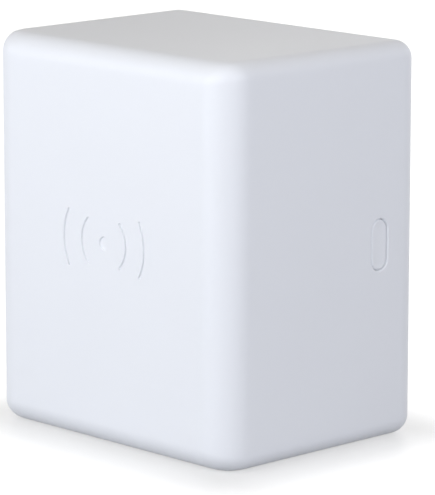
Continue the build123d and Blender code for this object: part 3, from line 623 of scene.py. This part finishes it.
def frontShell():
    # one closed skin: the grid of columns and rows, less the button's window, whose rings carry the
    # border of the window in to the pill, through the wall and out to the border inside
    columns, angle, window = shellColumns()
    rows, depths, marked, outer, inner = shellRows(columns, angle)
    points = np.stack([rows[..., 0], depths, rows[..., 1] + shellMiddle], -1)
    points[marked:outer] = settle(points[marked:outer])
    count, steps = len(angle), shellSet["windowLines"][0]
    quads = grid(len(rows), count)
    keep = np.ones(quads.shape[:2], bool)
    keep[outer:outer + steps - 1, window[:-1]] = False
    keep[inner:inner + steps - 1, window[:-1]] = False
    i, j = np.arange(steps), window
    loopRow = np.concatenate([np.zeros(len(j) - 1, int), i[:-1], np.full(len(j) - 1, steps - 1), i[:0:-1]])
    loopColumn = np.concatenate([j[:-1], np.full(steps - 1, j[-1]), j[:0:-1], np.full(steps - 1, j[0])])
    border = (outer + loopRow) * count + loopColumn
    within = (inner + steps - 1 - loopRow) * count + loopColumn
    flatPoints = points.reshape(-1, 3)
    half, edge, face = shellSet["windowHalf"], shellSet["windowEdge"], shellHalf[0]

    def pill(loop, offset):
        # nearest point of the pill's middle line, and from there outwards by its radius and the offset
        away = flatPoints[loop][:, 1:] - buttonPlace
        core = np.clip(away[:, 1], half[0] - half[1], half[1] - half[0])
        way = away - np.stack([np.zeros_like(core), core], 1)
        way /= np.linalg.norm(way, axis=1)[:, None]
        return buttonPlace + np.stack([np.zeros_like(core), core], 1) + way * (half[0] + offset)

    def ring(x, place):
        return np.concatenate([np.full((len(place), 1), x), place], 1)

    outside, inside = flatPoints[border][:, 1:], flatPoints[within][:, 1:]
    rings = [ring(face, outside * (1 - w) + pill(border, edge + shellSet["near"]) * w)
             for w in shellSet["outerShares"]]
    for t in np.linspace(0, math.pi / 2, shellSet["windowSteps"]):
        rings.append(ring(face - edge * (1 - math.cos(t)), pill(border, edge * (1 - math.sin(t)))))
    wallInside = face - shellSet["wall"]
    rings.append(ring((face + wallInside) / 2, pill(border, 0)))
    rings.append(ring(wallInside, pill(within, 0)))
    rings += [ring(wallInside, pill(within, 0) * (1 - w) + inside * w) for w in shellSet["innerShares"]]
    first = len(flatPoints)
    numbers = np.arange(len(rings) * len(border)).reshape(len(rings), -1) + first
    numbers = np.vstack([border, numbers, within])
    nextOne = np.roll(numbers, -1, axis=1)
    sleeve = np.stack([numbers[:-1], numbers[1:], nextOne[1:], nextOne[:-1]], -1)
    faces = np.concatenate([quads[keep], sleeve.reshape(-1, 4)])
    points, faces = weld(np.concatenate([flatPoints, *rings]), faces)
    return addPiece("shell_skin", points, faces, "white_plastic", "housing", ["front_shell"])


def shellInside():
    # bosses, ribs, guide and socket: the solid's faces whose middle lies clear of the cavity's skin;
    # the room to that skin is the least of those to its sides, its floor and its bevel
    s, tolerance = shellSet, shellSet["tolerance"]
    mesh = frame["nodes"]["front_shell"].data
    mesh.calc_loop_triangles()
    points = np.empty(len(mesh.vertices) * 3)
    mesh.vertices.foreach_get("co", points)
    faces = np.empty(len(mesh.loop_triangles) * 3, int)
    mesh.loop_triangles.foreach_get("vertices", faces)
    points, faces = points.reshape(-1, 3), faces.reshape(-1, 3)

    def room(place):
        beyond = np.abs(place[..., (0, 2)] - (0, shellMiddle)) - (shellHalf - s["wall"]) + s["insideRound"]
        side = s["insideRound"] - np.linalg.norm(np.maximum(beyond, 0), axis=-1)
        side = side - np.minimum(beyond.max(-1), 0)
        floor = place[..., 1] - frontFace - s["wall"]
        return np.minimum(np.minimum(side, floor), (side + floor - s["insideBevel"]) / math.sqrt(2))

    keep = (room(points[faces]).min(1) > -tolerance) & (room(points[faces].mean(1)) > tolerance)
    points, faces = weld(points, faces[keep])
    return addPiece("shell_inside", points, faces, "white_plastic", "housing", ["front_shell"])


shell, inside = frontShell(), shellInside()
print("front shell made:", len(shell.data.polygons), "faces, and inside", len(inside.data.polygons))


# Sync button
buttonSet = {
    "half": (1.90 * mm, 4.50 * mm), "edge": 0.45 * mm, "dish": 0.10 * mm,
    "flangeHalf": (3.0 * mm, 5.6 * mm), "flangeRound": 0.3 * mm, "flange": 0.9 * mm,
    "stemHalf": (0.8 * mm, 1.3 * mm), "stemRound": 0.15 * mm, "stem": 0.9 * mm,
    "sideSteps": 8, "cornerSteps": 20, "faceRings": 9, "edgeRings": 7,
}


def syncButton():
    # rings of rounded rectangles about the button's axis, from the middle of its face to the stem's
    # end; the face is dished by a parabola and its edge is a quarter circle
    s = buttonSet
    columns = roundColumns(s["sideSteps"], s["cornerSteps"])
    top, half = buttonHigh.x, np.array(s["half"])
    rings = []

    def ring(x, size, corner):
        place = outline(columns, size, corner) + buttonPlace
        rings.append(np.concatenate([np.full((len(place), 1), x), place], 1))

    flat = half - s["edge"]
    for share in np.linspace(0, 1, s["faceRings"]):
        size = flat - flat[0] * (1 - share)
        ring(top - s["dish"] * (1 - share * share), size, size[0])
    for t in np.linspace(0, math.pi / 2, s["edgeRings"] + 1)[1:]:
        size = half - s["edge"] * (1 - math.sin(t))
        ring(top - s["edge"] * (1 - math.cos(t)), size, size[0])
    back = buttonLow.x + s["stem"]
    ring(back + s["flange"], half, half[0])
    ring(back + s["flange"], s["flangeHalf"], s["flangeRound"])
    ring(back, s["flangeHalf"], s["flangeRound"])
    ring(back, s["stemHalf"], s["stemRound"])
    ring(buttonLow.x, s["stemHalf"], s["stemRound"])
    ring(buttonLow.x, (0, 0), 0)
    rings = np.array(rings)
    points, faces = weld(rings.reshape(-1, 3), grid(len(rings), rings.shape[1]).reshape(-1, 4))
    return addPiece("button_cap", points, faces, "white_plastic", "button", ["sync_button"])


button = syncButton()
print("button made:", len(button.data.polygons), "faces")

# Cover screws
screwSet = {
    "head": 2.05 * mm, "edge": 0.10 * mm, "cone": 0.90 * mm, "shank": 1.12 * mm,
    "arm": 0.32 * mm, "reach": 1.25 * mm, "recess": 0.75 * mm, "soft": 0.10 * mm, "taper": 0.45,
    "pitch": 1.1 * mm, "thread": 0.24 * mm, "neck": 1.0 * mm, "tip": 1.6 * mm,
    "columns": 96, "faceRows": 30, "edgeRows": 4, "turnRows": 6, "tipRows": 7,
    "turned": (0.3, 1.1, 0.8, 0.5),     # each screw's cross, in radians
}


def recessDepth(u, v):
    # a cross with a rounded edge: deepest in the middle and shallower towards the ends of its arms
    s = screwSet
    u, v = np.abs(u), np.abs(v)
    away = np.minimum(np.maximum(u - s["reach"], v - s["arm"]), np.maximum(v - s["reach"], u - s["arm"]))
    level = np.clip(0.5 - away / s["soft"], 0, 1)
    taper = 1 - s["taper"] * np.clip(np.hypot(u, v) / s["reach"], 0, 1)
    return s["recess"] * taper * level * level * (3 - 2 * level)


def coverScrews():
    # polar rows about each axis: the head with its cross, the cone under it, and the shank, whose
    # radius falls by a triangle wave of the height and the angle, down to the tip
    s = screwSet
    low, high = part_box("cover_screws")
    angle = np.linspace(0, 2 * math.pi, s["columns"], endpoint=False)
    flat = np.linspace(0, s["head"] - s["edge"], s["faceRows"])
    radius = flat[:, None] + 0 * angle
    depth = recessDepth(radius * np.cos(angle), radius * np.sin(angle))
    bent = np.linspace(0, math.pi / 2, s["edgeRows"] + 1)[1:]
    side = np.stack([s["head"] - s["edge"] * (1 - np.sin(bent)), s["edge"] * (1 - np.cos(bent))], 1)
    side = np.vstack([side, (s["shank"], s["cone"]), (s["shank"], s["cone"] + s["neck"])])
    length, step = high.y - low.y, s["pitch"] / s["turnRows"]
    down = np.arange(s["cone"] + s["neck"] + step, length - s["tip"], step)
    wave = np.abs((down[:, None] / s["pitch"] + angle / (2 * math.pi)) % 1.0 - 0.5) * 2
    ending = np.linspace(1, 0, s["tipRows"] + 1)[1:, None] + 0 * angle
    last = s["shank"] - s["thread"] * wave[-1]
    radius = np.vstack([radius, side[:, :1] + 0 * angle, s["shank"] - s["thread"] * wave, last * ending])
    depth = np.vstack([depth, side[:, 1:] + 0 * angle, down[:, None] + 0 * angle,
                       down[-1] + (length - down[-1]) * (1 - ending)])
    quads = grid(len(radius), s["columns"]).reshape(-1, 4)[:, ::-1]
    points, faces = [], []
    for k, turned in enumerate(s["turned"]):
        x = (low.x + s["head"], high.x - s["head"])[k % 2]
        z = (low.z + s["head"], high.z - s["head"])[k // 2]
        points.append(np.stack([x + radius * np.cos(angle + turned), high.y - depth,
                                z + radius * np.sin(angle + turned)], -1).reshape(-1, 3))
        faces.append(quads + k * radius.size)
    points, faces = weld(np.concatenate(points), np.concatenate(faces))
    return addPiece("cross_screws", points, faces, "steel", "housing", ["cover_screws"])


screws = coverScrews()
print("cover screws made:", len(screws.data.polygons), "faces")

# Finishes of the CAD nodes that stay
for row in frame["record"]["subparts"]:
    materials = frame["nodes"][row["node"]].data.materials
    if not materials:
        materials.append(None)
    for k in range(len(materials)):
        materials[k] = finishes[row["material_slot"]]
print("finishes given to", len(frame["nodes"]), "nodes")
